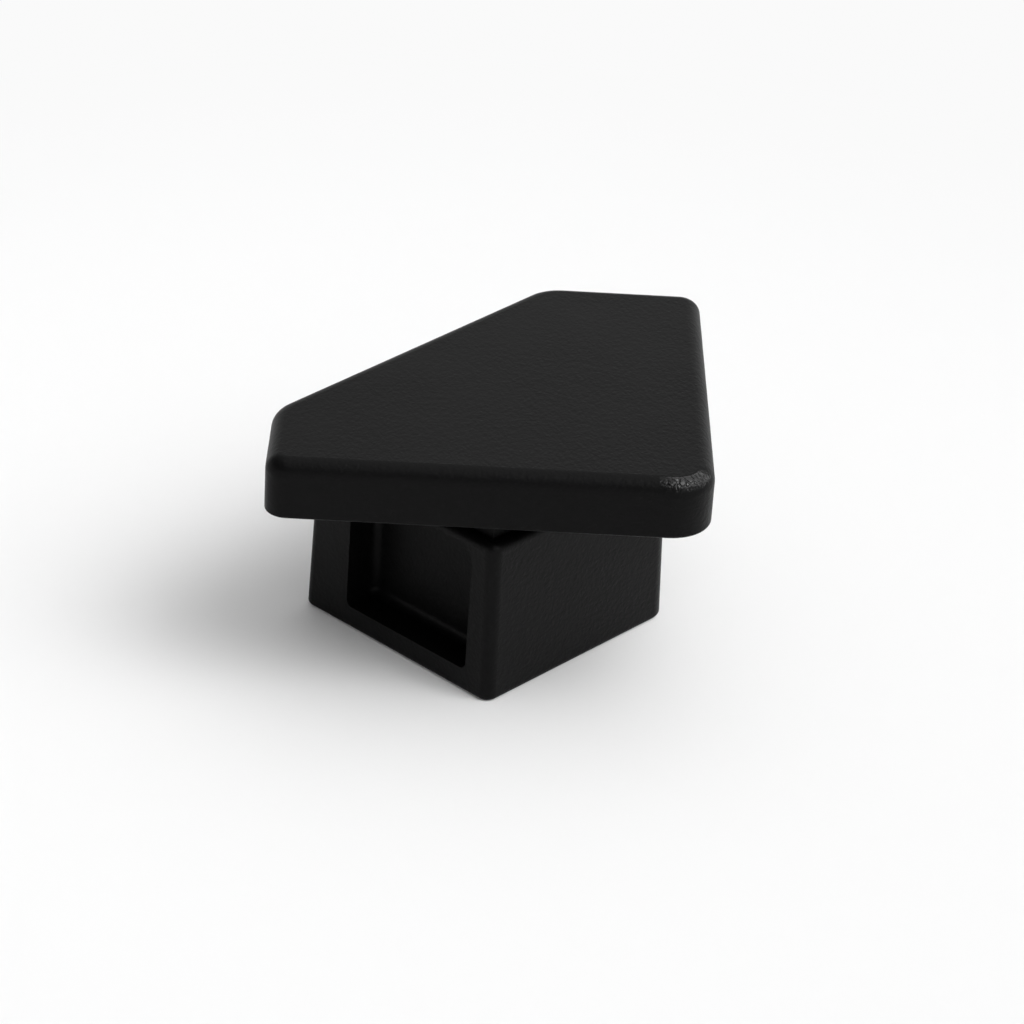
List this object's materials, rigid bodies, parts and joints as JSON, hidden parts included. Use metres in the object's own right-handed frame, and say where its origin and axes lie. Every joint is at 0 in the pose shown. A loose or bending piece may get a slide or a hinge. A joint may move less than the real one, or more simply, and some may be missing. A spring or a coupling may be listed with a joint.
{
  "type": "profile end cap",
  "caption": "Moulded end cap for a 45 degree corner profile: thick five-sided plate with soft edges on a square press-in plug with a blind pocket.",
  "frame": {"origin": "centre of the square that the plate's two long edges span, at the plane of the plug's foot", "axes": "+Z from the plug's foot up to the plate; +X towards the plate's long right edge; -Y towards its long front edge"},
  "size_m": [0.04, 0.04, 0.0236],
  "materials": {
    "moulded_black": "fine moulded grain, low sheen"
  },
  "bodies": {
    "root": {"end_cap": "moulded_black"}
  },
  "joints": []
}
